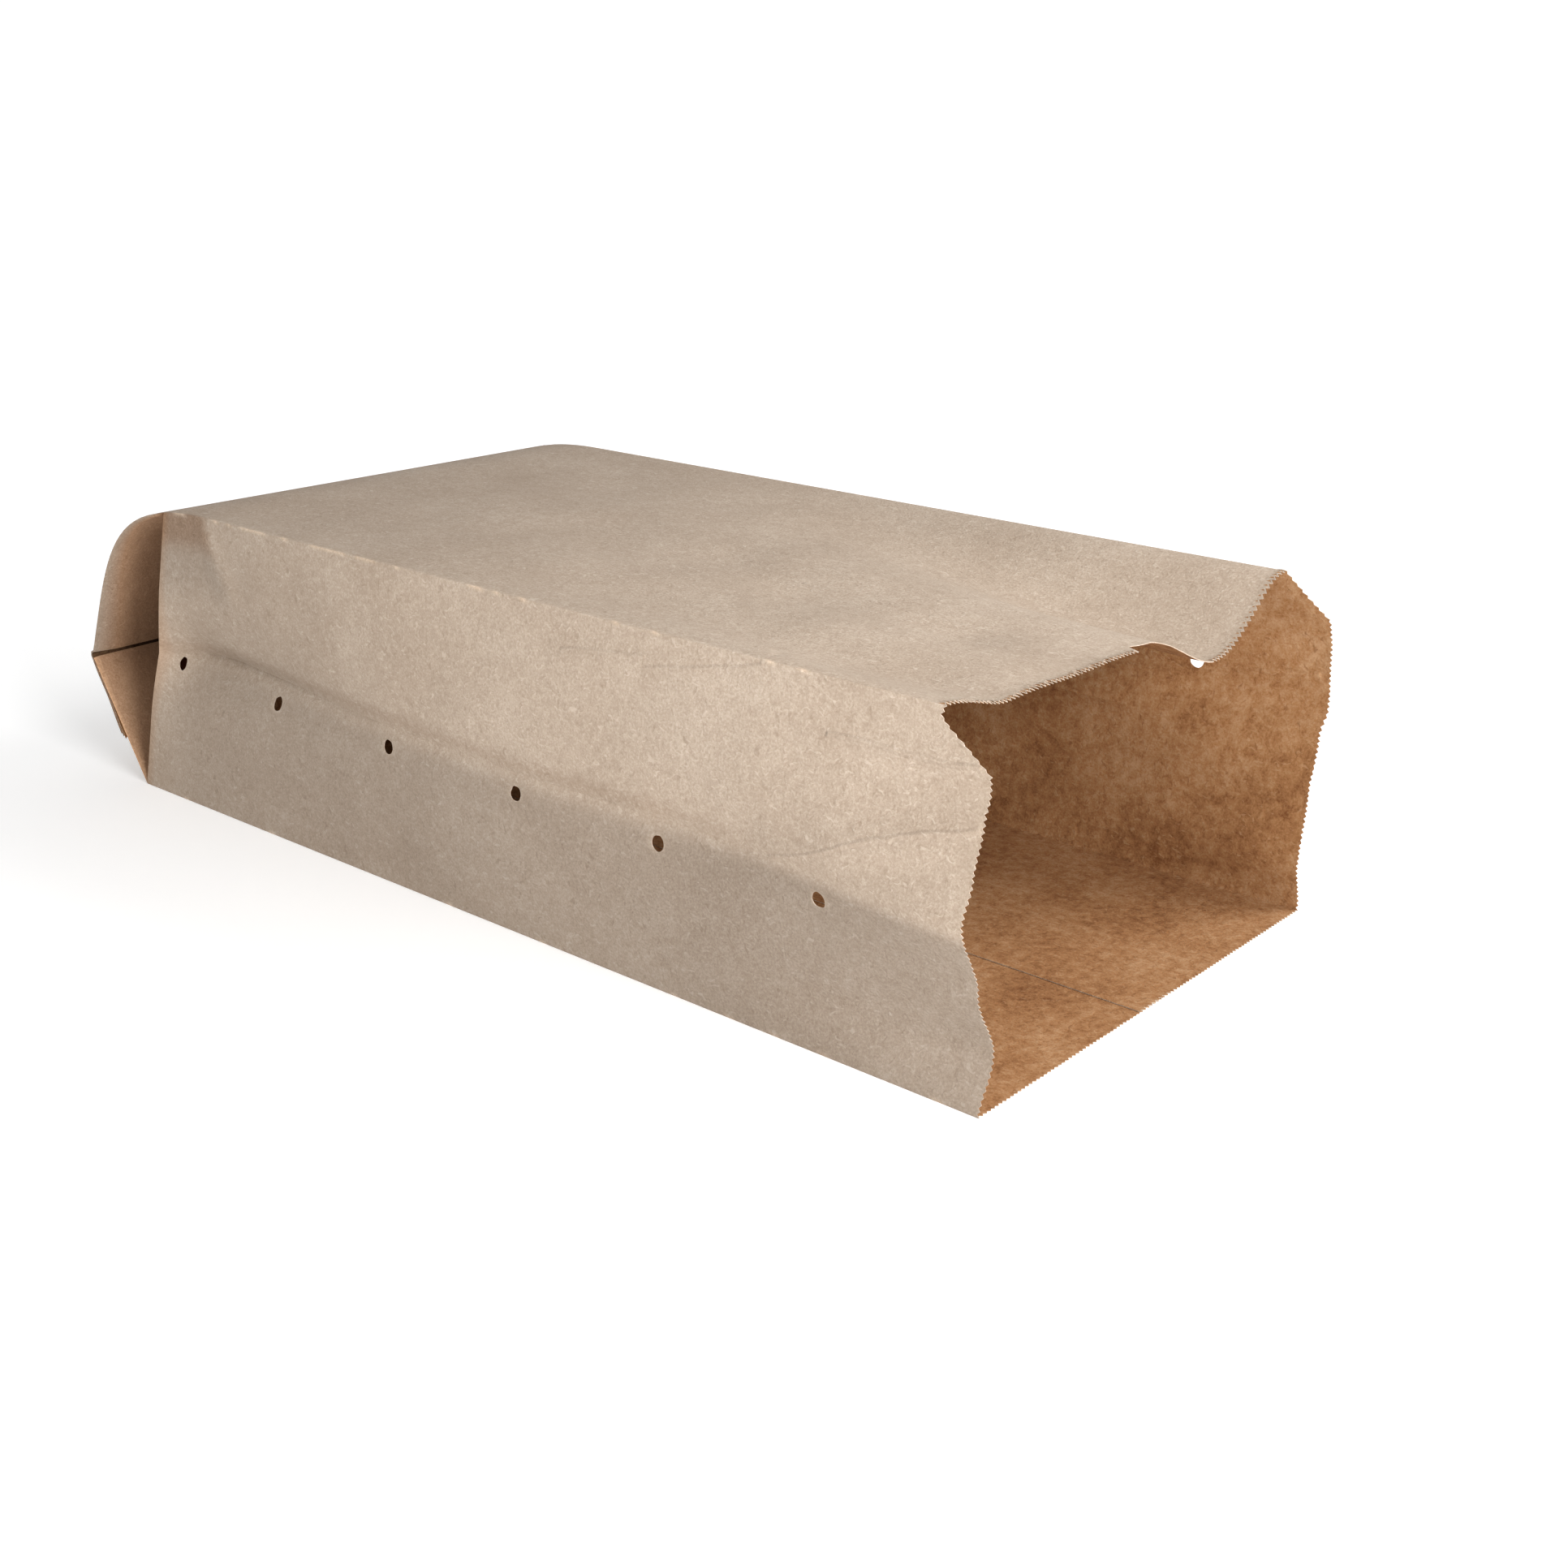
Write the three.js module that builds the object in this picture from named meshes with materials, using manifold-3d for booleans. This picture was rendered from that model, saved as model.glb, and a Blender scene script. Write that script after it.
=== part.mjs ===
// A side-gusset snack bag of brown kraft paper, opened up and lying on its back panel.
// One sheet, folded and glued: top panel, two gussets, bottom panel, and a pinched end
// whose layers are folded over into a glued flap. Millimetres, +Z up, mouth towards +X,
// near gusset towards -Y. The origin is under the middle of the bag's box.
import * as THREE from 'three';
import { mergeVertices } from 'three/addons/utils/BufferGeometryUtils.js';
import Module from 'manifold-3d';

// Driving dimensions
const bagWidth = 160; // top and bottom panels, crease to crease
const gussetDepth = 100; // side panels, crease to crease
const floorLength = 350; // bottom panel on the table, end crease to mouth
const paper = 0.3; // wall, with a little added to the real sheet so that it holds up as a solid
const lip = 13; // how far the top panel stops short of the other mouth edges
const toothPitch = 1.6;
const toothDepth = 0.7;
const thumbCutMiddle = 98; // from the near crease
const thumbCutWidth = 46;
const thumbCutDepth = 3;
const holeDiameter = 3.6;
const holePitch = 55.8;
const holeCount = 6;
const holeMouthGap = 49; // mouth edge to the first near hole
const nearHoleDrop = 6.5; // near row under its middle crease
const farHoleRise = 17; // far row over its middle crease
const farHoleShift = 7; // far row nearer to the mouth than the near row
const holeCutLength = 30; // of the cutter, across wherever the wall stands
const lapWidth = 15; // glued lengthwise seam on the inside of the bottom panel

// Closed end
const pinchOut = 25; // how far the pinched line stands out past the floor crease
const pinchHeight = 41;
const stack = 2; // height of the pressed layers at the pinched line
const layerGap = 0.7; // between neighbouring layers close to the pinched line
const tuckSpring = 2.5; // how far a tucked layer springs off the panel it lies under
const springReach = 12; // how far from its crease it takes to do so
const springStart = 0.3; // share of the tuck's length over which it comes up
const bendStart = 50; // where the top panel starts to bend down, from the floor crease
const bendSkew = 10; // the bend starts this much later at the far side
const bendReach = 55; // how long the pull of the flat top is in the bend's curve
const bendRise = 38; // how long the pull of the pinched line is in the bend's curve
const bendLean = 0.45; // slope of the top panel where it leaves the pinched line
const tuckTop = 0.85; // share of the bend that the upper tuck takes, up to the gusset's end fold
const flapLength = 30;
const flapThickness = 1.8;
const flapSink = 0.05; // how deep the glued flap sits in the wall under it
const rollStart = -Math.PI / 5; // where the round edge leaves the top panel

// How the opened bag stands: soft shape of the walls
const endFoldIn = 1.5; // middle of the gusset's end fold, pushed in
const foldInDepth = 10; // middle crease, pushed in beside the closed end
const foldInStart = 8;
const foldInFade = 130;
const creaseDepth = 0.6; // what is left of that fold along the middle of the bag
const valleyOver = 0.25; // how far the fold's valley reaches, as shares of the gusset's height
const valleyUnder = 0.22;
const valleyEase = 1.5;
const mouthReach = 100; // length over which the walls take on the mouth's shape
const mouthEase = 1.5;
const sagReach = 215; // the same for the sag of the top panel
const sagEase = 1.6;
const sagShallow = 5.5;
const sagNearEdge = 0.16; // share of the width in which it starts, beside each crease
const sagFarEdge = 0.19;
const sagDeep = 13;
const sagDeepEdge = 0.1;
const sagMiddle = 122; // deepest line of the sag, from the near crease
const sagSpread = 22;

// How far each gusset stands out at the mouth: share of its height from the bottom crease,
// then millimetres outwards
const nearMouth = [[0, 0], [0.14, -4.8], [0.33, 2], [0.525, 9], [0.63, 5.6], [0.76, 2], [1, 0]];
const farMouth = [[0, 0], [0.15, -3], [0.35, 0], [0.53, 4.2], [0.6, 8], [0.76, 6.2], [1, 0]];

// Grid
const tuckColumns = 3;
const webColumns = 12;
const topColumns = 14;
const floorColumns = 3; // each side of the lap
const creaseStrip = 1; // narrow column beside the panels' creases
const endRows = 7;
const bodyRows = 13;
const holeSides = 16;
const rollSides = 8;
const halvings = 30; // steps of the search for a height on the bend
const mitrePasses = 12;
const mitreLimit = 1.6; // longest step over a crease, in half walls

const mouthOutlines = { near: nearMouth, far: farMouth };
const topCreaseX = floorLength - lip;
const toothBase = 4; // plain strip left between the grid and the roots of the teeth

function smooth(t) {
  return THREE.MathUtils.smoothstep(t, 0, 1);
}

// The top panel seen from the side: up from the pinched line, then over into the flat top
function bendCurve(across) {
  const flatX = bendStart + bendSkew * across;
  const start = new THREE.Vector2(-pinchOut, pinchHeight + stack / 2);
  const lean = new THREE.Vector2(bendLean, 1).setLength(bendRise).add(start);
  return new THREE.CubicBezierCurve(
    start,
    lean,
    new THREE.Vector2(flatX - bendReach, gussetDepth),
    new THREE.Vector2(flatX, gussetDepth),
  );
}

function topHeight(x, across) {
  const curve = bendCurve(across);
  if (x >= curve.v3.x) return gussetDepth;
  let low = 0;
  let high = 1;
  for (let step = 0; step < halvings; step += 1) {
    const middle = (low + high) / 2;
    if (curve.getPoint(middle).x < x) low = middle;
    else high = middle;
  }
  return curve.getPoint(low).y;
}

// Straight reading between the points of an outline, rounded by the smooth step
function readOutline(points, at) {
  for (let i = 1; i < points.length; i += 1) {
    const [a, outA] = points[i - 1];
    const [b, outB] = points[i];
    if (at <= b) return outA + (outB - outA) * smooth((at - a) / (b - a));
  }
  return points[points.length - 1][1];
}

function sag(x, across) {
  const reach = smooth(1 - (topCreaseX - x) / sagReach) ** sagEase;
  const shallow = sagShallow * smooth(across / sagNearEdge) * smooth((1 - across) / sagFarEdge);
  const off = (across * bagWidth - sagMiddle) / sagSpread;
  const deep = sagDeep * Math.exp(-off * off) * smooth((1 - across) / sagDeepEdge);
  return reach * (shallow + deep);
}

// The valley along a gusset's middle crease: 1 at the crease, 0 past its reach
function valley(up) {
  const fromCrease = up > 0.5 ? (up - 0.5) / valleyOver : (0.5 - up) / valleyUnder;
  return Math.max(0, 1 - fromCrease) ** valleyEase;
}

// How far a gusset stands out from the plane of its creases
function standOut(side, x, up) {
  const endX = up * bendCurve(side === 'near' ? 0 : 1).getPoint(tuckTop).x;
  const past = Math.max(0, x - endX);
  const towardsMouth = smooth(1 - (floorLength - x) / mouthReach) ** mouthEase;
  const unsettled = Math.exp(-past / foldInStart);
  const foldIn = foldInDepth * smooth(1 - past / foldInFade) + creaseDepth;
  const depth = endFoldIn * unsettled + foldIn * (1 - unsettled);
  const stance = towardsMouth * readOutline(mouthOutlines[side], up);
  return stance - depth * (1 - towardsMouth) * valley(up);
}

// A column of the grid: the panel it lies on, and how far across that panel it is
function columnList() {
  const list = [];
  const add = (panel, ...stops) => {
    for (let i = 1; i < stops.length; i += 1) list.push({ panel, at: stops[i - 1], to: stops[i] });
  };
  const spread = (from, to, count) => {
    return Array.from({ length: count + 1 }, (_, i) => from + ((to - from) * i) / count);
  };
  const strip = creaseStrip / bagWidth;
  const lapEdge = lapWidth / 2 / bagWidth;
  const lapStep = 0.5 + lapEdge - paper / bagWidth;
  const halfFloor = [0.5, lapStep, ...spread(0.5 + lapEdge, 1 - strip, floorColumns), 1];
  const top = [0, ...spread(strip, 1 - strip, topColumns), 1];
  const tuck = [0, ...spread((2 * creaseStrip) / gussetDepth, 1, tuckColumns)];
  const web = spread(0, 1, webColumns);
  const mirrored = (stops) => stops.map((at) => 1 - at);
  add('floor', ...halfFloor);
  add('far low', ...tuck);
  add('far web', ...web);
  add('far high', ...mirrored(tuck).reverse());
  add('top', ...top.reverse());
  add('near high', ...mirrored(tuck));
  add('near web', ...mirrored(web));
  add('near low', ...tuck.reverse());
  add('floor', ...mirrored(halfFloor).reverse());
  return list;
}

function sideY(side, inward) {
  return side === 'near' ? inward : bagWidth - inward;
}

// Closed end, from the pinched line (0) to the gusset's end fold (1)
function endPoint(panel, at, along) {
  const floorX = -pinchOut * (1 - along);
  const floorZ = (pinchHeight - stack / 2) * (1 - along);
  if (panel === 'floor') return new THREE.Vector3(floorX, bagWidth * at, floorZ);
  if (panel === 'top') {
    const bend = bendCurve(at).getPoint(along * tuckTop);
    return new THREE.Vector3(bend.x, bagWidth * at, bend.y);
  }
  const [side, zone] = panel.split(' ');
  const diagonal = (gussetDepth / 2) * (1 - along);
  const spring = layerGap + (tuckSpring - layerGap) * smooth(along / springStart);
  const tucked = (deep, upper) => {
    const lifted = (spring - layerGap) * smooth(deep / springReach);
    const gap = layerGap * smooth(deep / creaseStrip) + lifted;
    const point = new THREE.Vector3(floorX, sideY(side, deep), floorZ);
    if (!upper) {
      const inward = new THREE.Vector3(pinchHeight - stack / 2, 0, pinchOut).normalize();
      return point.add(inward.multiplyScalar(gap));
    }
    const curve = bendCurve(side === 'near' ? deep / bagWidth : 1 - deep / bagWidth);
    const bend = curve.getPoint(along * tuckTop);
    const slope = curve.getTangent(along * tuckTop);
    return point.set(bend.x + slope.y * gap, point.y, bend.y - slope.x * gap);
  };
  if (zone === 'low') return tucked(diagonal * at, false);
  if (zone === 'high') return tucked(diagonal * (1 - at), true);
  const web = tucked(diagonal, false).lerp(tucked(diagonal, true), at);
  const pushed = endFoldIn * along * valley(at);
  return web.setY(web.y + (side === 'near' ? pushed : -pushed));
}

function thumbCut(at) {
  const off = (at * bagWidth - thumbCutMiddle) / (thumbCutWidth / 2);
  return Math.abs(off) < 1 ? thumbCutDepth * Math.sqrt(1 - off * off) : 0;
}

// Share of the gusset's height. Past the end fold the tucks have no width and lie on the creases.
function heightShare(panel, at) {
  return panel.endsWith('web') ? at : Number(panel.endsWith('high'));
}

// The mouth edge slopes back over the top of each gusset, at 45 degrees, to the lip
function mouthX(panel, at) {
  if (panel === 'floor') return floorLength;
  if (panel === 'top') return topCreaseX - thumbCut(at);
  return floorLength - Math.max(0, lip - (1 - heightShare(panel, at)) * gussetDepth);
}

// Open part of the bag, at a distance along X
function bodyPoint(panel, at, x) {
  if (panel === 'floor') return new THREE.Vector3(x, bagWidth * at, 0);
  if (panel === 'top') return new THREE.Vector3(x, bagWidth * at, topHeight(x, at) - sag(x, at));
  const side = panel.split(' ')[0];
  const up = heightShare(panel, at);
  const height = up * topHeight(x, Number(side === 'far'));
  return new THREE.Vector3(x, sideY(side, -standOut(side, x, up)), height);
}

function endFoldX(panel, at) {
  return endPoint(panel, at, 1).x;
}

// Wall thickness inwards: doubled along the lap
function wallAt(panel, at) {
  const fromLap = Math.abs(at - 0.5) * bagWidth;
  return panel === 'floor' && fromLap < lapWidth / 2 - paper / 2 ? 2 * paper : paper;
}

// The folded sheet as one skin of triangles, closed round the bag, open at both ends
function foldedSheet() {
  const columns = columnList();
  const positions = [];
  const walls = [];
  const index = [];
  const put = (point, wall) => {
    positions.push(point.x, point.y, point.z);
    walls.push(wall);
    return walls.length - 1;
  };
  const rows = [];
  for (let row = 0; row <= endRows + bodyRows; row += 1) {
    rows.push(columns.map(({ panel, at }) => {
      if (row <= endRows) return put(endPoint(panel, at, row / endRows), wallAt(panel, at));
      const from = endFoldX(panel, at);
      const to = mouthX(panel, at) - toothBase;
      const x = from + ((to - from) * (row - endRows)) / bodyRows;
      return put(bodyPoint(panel, at, x), wallAt(panel, at));
    }));
  }
  const next = (i) => (i + 1) % columns.length;
  for (let row = 1; row < rows.length; row += 1) {
    for (let i = 0; i < columns.length; i += 1) {
      const [a, b] = [rows[row - 1][i], rows[row - 1][next(i)]];
      const [c, d] = [rows[row][next(i)], rows[row][i]];
      index.push(a, b, c, a, c, d);
    }
  }
  const last = rows[rows.length - 1];
  columns.forEach((column, i) => addTeeth(column, last[i], last[next(i)], put, index));
  return { positions, walls, index };
}

// One cell of the mouth: a fan of triangles out to a saw-toothed edge
function addTeeth({ panel, at: start, to }, left, right, put, index) {
  if (panel.endsWith('low') || panel.endsWith('high')) return;
  const span = panel.endsWith('web') ? gussetDepth : bagWidth;
  const teeth = Math.max(1, Math.round((Math.abs(to - start) * span) / toothPitch));
  const edge = [];
  for (let k = 0; k <= 2 * teeth; k += 1) {
    const at = start + ((to - start) * k) / (2 * teeth);
    const x = mouthX(panel, at) - (k % 2 ? 0 : toothDepth);
    edge.push(put(bodyPoint(panel, at, x), wallAt(panel, at)));
  }
  for (let k = 0; k < 2 * teeth; k += 1) {
    index.push(k < teeth ? left : right, edge[k + 1], edge[k]);
  }
  index.push(left, right, edge[teeth]);
}

// The step from each corner that clears every face round it by the same amount, so that the
// wall keeps its thickness over a square crease. Over a flat fold it is held to a short step.
function outwardSteps(sheet, faces) {
  const { position, normal } = sheet.attributes;
  const read = (attribute, i) => new THREE.Vector3().fromBufferAttribute(attribute, i);
  const normals = faces.map((face) => {
    const triangle = new THREE.Triangle(...face.map((i) => read(position, i)));
    return triangle.getNormal(new THREE.Vector3());
  });
  const outs = Array.from({ length: position.count }, (_, i) => read(normal, i));
  for (let pass = 0; pass < mitrePasses; pass += 1) {
    faces.forEach((face, f) => {
      for (const i of face) outs[i].addScaledVector(normals[f], (1 - outs[i].dot(normals[f])) / 2);
    });
  }
  return outs.map((out) => out.clampLength(0, mitreLimit));
}

// Gives the skin its thickness: an outer and an inner skin, and a rim round each open edge
function thicken({ positions, walls, index }) {
  let sheet = new THREE.BufferGeometry();
  sheet.setAttribute('position', new THREE.Float32BufferAttribute(positions, 3));
  sheet.setAttribute('wall', new THREE.Float32BufferAttribute(walls, 1));
  sheet.setIndex(index);
  sheet = mergeVertices(sheet, 1e-3);
  const faces = [];
  for (let i = 0; i < sheet.index.count; i += 3) {
    const [a, b, c] = [0, 1, 2].map((k) => sheet.index.getX(i + k));
    if (a !== b && b !== c && c !== a) faces.push([a, b, c]);
  }
  sheet.setIndex(faces.flat());
  sheet.computeVertexNormals();
  const { position, wall } = sheet.attributes;
  const count = position.count;
  const outs = outwardSteps(sheet, faces);
  const skins = new Float32Array(count * 6);
  for (let i = 0; i < count; i += 1) {
    const middle = new THREE.Vector3().fromBufferAttribute(position, i);
    middle.clone().addScaledVector(outs[i], paper / 2).toArray(skins, i * 3);
    middle.addScaledVector(outs[i], paper / 2 - wall.getX(i)).toArray(skins, (count + i) * 3);
  }
  const edges = new Set(faces.flatMap(([a, b, c]) => [`${a} ${b}`, `${b} ${c}`, `${c} ${a}`]));
  const solid = [];
  for (const [a, b, c] of faces) solid.push(a, b, c, count + a, count + c, count + b);
  for (const edge of edges) {
    const [a, b] = edge.split(' ').map(Number);
    if (!edges.has(`${b} ${a}`)) solid.push(b, a, count + a, b, count + a, count + b);
  }
  const wallGeometry = new THREE.BufferGeometry();
  wallGeometry.setAttribute('position', new THREE.BufferAttribute(skins, 3));
  wallGeometry.setIndex(solid);
  return wallGeometry;
}

// The pressed layers past the pinched line, folded down and glued on the lower slope
function endFlap() {
  const slope = new THREE.Vector2(pinchOut, stack / 2 - pinchHeight).normalize();
  const out = new THREE.Vector2(slope.y, -slope.x);
  const head = new THREE.Vector2(-pinchOut, pinchHeight);
  const radius = stack / 2 + paper;
  const seat = head.clone().add(new THREE.Vector2(0, -stack / 2)).addScaledVector(out, -flapSink);
  const profile = new THREE.Shape();
  const corner = (from, along, off) => {
    const point = from.clone().addScaledVector(slope, along).addScaledVector(out, off);
    profile.lineTo(point.x, point.y);
  };
  profile.absarc(head.x, head.y, radius, rollStart, Math.PI, false);
  corner(seat, flapLength, flapThickness);
  corner(seat, flapLength, 0);
  corner(seat, radius, 0);
  const flap = new THREE.ExtrudeGeometry(profile, {
    depth: bagWidth + 2 * paper,
    bevelEnabled: false,
    curveSegments: rollSides,
  });
  return flap.rotateX(Math.PI / 2).translate(0, bagWidth + paper, 0);
}

function hole(side, index) {
  const shift = side === 'far' ? farHoleShift : 0;
  const x = floorLength - holeMouthGap - holePitch * index + shift;
  const middle = gussetDepth / 2;
  const height = side === 'far' ? middle + farHoleRise : middle - nearHoleDrop;
  const radius = holeDiameter / 2;
  const cutter = new THREE.CylinderGeometry(radius, radius, holeCutLength, holeSides);
  return cutter.translate(x, sideY(side, 0), height);
}

const library = await Module();
library.setup();

function toSolid(geometry) {
  const bare = geometry.clone();
  bare.deleteAttribute('normal');
  bare.deleteAttribute('uv');
  const merged = mergeVertices(bare, 1e-4);
  return new library.Manifold(new library.Mesh({
    numProp: 3,
    vertProperties: new Float32Array(merged.attributes.position.array),
    triVerts: new Uint32Array(merged.index.array),
  }));
}

function toGeometry(solid) {
  const mesh = solid.getMesh();
  const geometry = new THREE.BufferGeometry();
  geometry.setAttribute('position', new THREE.BufferAttribute(new Float32Array(mesh.vertProperties), 3));
  geometry.setIndex(new THREE.BufferAttribute(new Uint32Array(mesh.triVerts), 1));
  return geometry;
}

function paperBag() {
  let bag = toSolid(thicken(foldedSheet())).add(toSolid(endFlap()));
  for (const side of ['near', 'far']) {
    for (let i = 0; i < holeCount; i += 1) bag = bag.subtract(toSolid(hole(side, i)));
  }
  const geometry = toGeometry(bag);
  geometry.computeBoundingBox();
  const { min, max } = geometry.boundingBox;
  geometry.translate(-(min.x + max.x) / 2, -(min.y + max.y) / 2, -min.z);
  geometry.computeVertexNormals();
  const kraft = new THREE.MeshStandardMaterial({ color: 0xbfa488, roughness: 0.9, metalness: 0 });
  const mesh = new THREE.Mesh(geometry, kraft);
  mesh.name = 'paper_bag';
  return mesh;
}

const snackBag = new THREE.Group();
snackBag.add(paperBag());

export default snackBag;
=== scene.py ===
# Brown kraft snack bag, lying open on its back panel
import math

import bmesh
import bpy
from mathutils import Matrix, Vector, noise


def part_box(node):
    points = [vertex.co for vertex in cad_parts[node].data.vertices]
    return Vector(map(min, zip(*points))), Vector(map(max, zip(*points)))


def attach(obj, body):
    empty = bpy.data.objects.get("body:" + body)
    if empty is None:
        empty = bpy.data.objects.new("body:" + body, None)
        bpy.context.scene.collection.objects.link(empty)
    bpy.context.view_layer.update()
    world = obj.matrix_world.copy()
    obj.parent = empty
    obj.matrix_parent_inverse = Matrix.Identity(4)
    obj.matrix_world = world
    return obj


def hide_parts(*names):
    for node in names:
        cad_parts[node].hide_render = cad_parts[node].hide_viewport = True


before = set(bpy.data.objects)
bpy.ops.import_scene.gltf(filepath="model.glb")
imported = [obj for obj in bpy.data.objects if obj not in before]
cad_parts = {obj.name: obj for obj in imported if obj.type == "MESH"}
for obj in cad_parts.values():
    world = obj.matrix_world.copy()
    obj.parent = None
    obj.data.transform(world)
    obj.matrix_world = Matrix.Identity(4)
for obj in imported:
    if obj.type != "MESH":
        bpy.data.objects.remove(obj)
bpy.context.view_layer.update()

mm = 0.001

# sizes of the folded bag, all in mm
bag = {
    "width": 160, "height": 100, "length": 350,
    "wall": 0.3, "sheet": 0.2,
    "lip": 13, "toothDepth": 0.7,
    "tear": [(82, 0), (84.5, 4.6), (89, 3.4), (95, 3.8), (103, 2.6), (121, 0)],  # across, set back
    "nearLip": [(0, 13), (0.028, 14.2), (0.05, 12.3), (0.138, 0)],  # down, set back
    "pinchOut": 25, "pinchHeight": 41, "stack": 2,
    "layerGap": 0.87, "tuckSpring": 2.5, "springReach": 12, "springAlong": 0.3, "creaseStrip": 1,
    "bendStart": 50, "bendSkew": 10, "bendReach": 55, "bendRise": 38, "bendLean": 0.45,
    "tuckTop": 0.85,
}

# how the opened walls stand, in mm
stance = {
    "endFoldIn": 1.5, "foldIn": 10, "foldInStart": 8, "foldInFade": 130, "creaseDepth": 0.6,
    "valleyOver": 0.25, "valleyUnder": 0.22,
    "belly": 3.2, "bellyStart": 80, "bellyReach": 110,
    "pleat": 1.9, "pleatOver": 0.04, "pleatUnder": 0.06,
    "mouthReach": 100,
    "sagReach": 215, "sagShallow": 5.5, "sagDeep": 12.3, "sagMiddle": 123, "sagSpread": (20, 22),
    "near": [
        (0, 0), (0.14, -4.8), (0.33, 2), (0.525, 9), (0.63, 5.6), (0.76, 1.6), (0.83, 0), (1, 0),
    ],
    "far": [(0, 0), (0.15, -3), (0.35, 0), (0.53, 4.2), (0.6, 8), (0.76, 6.2), (1, 0)],
}

beadRadius = bag["stack"] / 2 + bag["wall"]  # the rolled edge at the pinched line
low, high = [Vector(corner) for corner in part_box("paper_bag")]
creaseX = low.x + (bag["pinchOut"] + beadRadius) * mm  # where the floor panel starts
creaseY = low.y + (stance["near"][3][1] + bag["wall"] / 2) * mm  # near crease of the floor panel


def smooth(t):
    t = min(1, max(0, t))
    return t * t * (3 - 2 * t)


def toFrame(x, y, z):
    return Vector((creaseX + x * mm, creaseY + y * mm, (z + bag["wall"] / 2) * mm))


# node helpers
def nodeOf(tree, kind, place, **values):
    node = tree.nodes.new(kind)
    node.location = place
    for name, value in values.items():
        if name in node.inputs:
            node.inputs[name].default_value = value
        else:
            setattr(node, name, value)
    return node


def mathNode(tree, operation, a, b, place, clamp=False):
    node = nodeOf(tree, "ShaderNodeMath", place, operation=operation, use_clamp=clamp)
    for socket, value in zip(node.inputs, (a, b)):
        if isinstance(value, (int, float)):
            socket.default_value = value
        else:
            tree.links.new(value, socket)
    return node.outputs[0]


def vectorNode(tree, operation, a, b, place):
    node = nodeOf(tree, "ShaderNodeVectorMath", place, operation=operation)
    for socket, value in zip(node.inputs, (a, b)):
        if isinstance(value, (tuple, Vector)):
            socket.default_value = value
        else:
            tree.links.new(value, socket)
    return node.outputs["Value" if operation in ("DOT_PRODUCT", "DISTANCE") else "Vector"]


def rangeNode(tree, value, fromRange, toRange, place, **values):
    node = nodeOf(tree, "ShaderNodeMapRange", place, **values)
    names = ("From Min", "From Max", "To Min", "To Max")
    for name, number in zip(names, (*fromRange, *toRange)):
        node.inputs[name].default_value = number
    tree.links.new(value, node.inputs["Value"])
    return node.outputs["Result"]


# camera, lights and floor
view = {
    "place": (588.8, -347.4, 240.0), "down": 20.355, "turn": 40.807, "lens": 46.16,
}


def addCamera():
    data = bpy.data.cameras.new("camera")
    data.lens = view["lens"]
    data.sensor_width = 36
    data.clip_start = 0.01
    camera = bpy.data.objects.new("camera", data)
    camera.location = toFrame(*view["place"])
    camera.rotation_euler = (math.radians(90 - view["down"]), 0, math.radians(view["turn"]))
    bpy.context.scene.collection.objects.link(camera)
    bpy.context.scene.camera = camera


def addLight(name, place, target, power, size):
    data = bpy.data.lights.new(name, "AREA")
    data.energy = power
    data.size = size
    light = bpy.data.objects.new(name, data)
    light.location = place
    light.rotation_euler = (Vector(target) - Vector(place)).to_track_quat("-Z", "Y").to_euler()
    bpy.context.scene.collection.objects.link(light)


studio = {
    "floorTone": (0.93, 0.93, 0.93, 1), "floorRoughness": 0.9,
    "floorGlow": (0.2, 0.45), "glowReach": (0.35, 1.1),  # under the bag, then away from it
    "skyTone": (1, 1, 1, 1),
    "skyStrength": (1.05, 0.61), "skyFade": (0.05, 0.2),  # horizon, then overhead
    "target": (0, 0, 0.05),
    "lights": [  # name, place, watts, size
        ("mouthLight", (0.75, -0.25, 0.3), 6.4, 0.3),
        ("backLight", (1.0, 0.9, 0.9), 18, 0.8),
        ("leftLight", (-0.6, -1.1, 0.7), 1.0, 0.8),
    ],
}


def paleFloor():
    material = bpy.data.materials.new("paleFloor")
    material.use_nodes = True
    tree = material.node_tree
    shader = tree.nodes["Principled BSDF"]
    shader.inputs["Base Color"].default_value = studio["floorTone"]
    shader.inputs["Roughness"].default_value = studio["floorRoughness"]
    # the floor fades to white away from the bag
    where = nodeOf(tree, "ShaderNodeTexCoord", (-800, 0)).outputs["Object"]
    away = nodeOf(tree, "ShaderNodeVectorMath", (-600, 0), operation="LENGTH")
    tree.links.new(where, away.inputs[0])
    glow = rangeNode(
        tree, away.outputs["Value"], studio["glowReach"], studio["floorGlow"], (-400, 0))
    tree.links.new(glow, shader.inputs["Emission Color"])
    shader.inputs["Emission Strength"].default_value = 1
    return material


def addSky():
    world = bpy.data.worlds.new("studio")
    bpy.context.scene.world = world
    world.use_nodes = True
    tree = world.node_tree
    sky = tree.nodes["Background"]
    sky.inputs["Color"].default_value = studio["skyTone"]
    # brighter near the horizon than overhead
    where = nodeOf(tree, "ShaderNodeTexCoord", (-800, 0)).outputs["Generated"]
    split = nodeOf(tree, "ShaderNodeSeparateXYZ", (-600, 0))
    tree.links.new(where, split.inputs[0])
    strength = rangeNode(
        tree, split.outputs["Z"], studio["skyFade"], studio["skyStrength"], (-400, 0))
    tree.links.new(strength, sky.inputs["Strength"])


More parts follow.
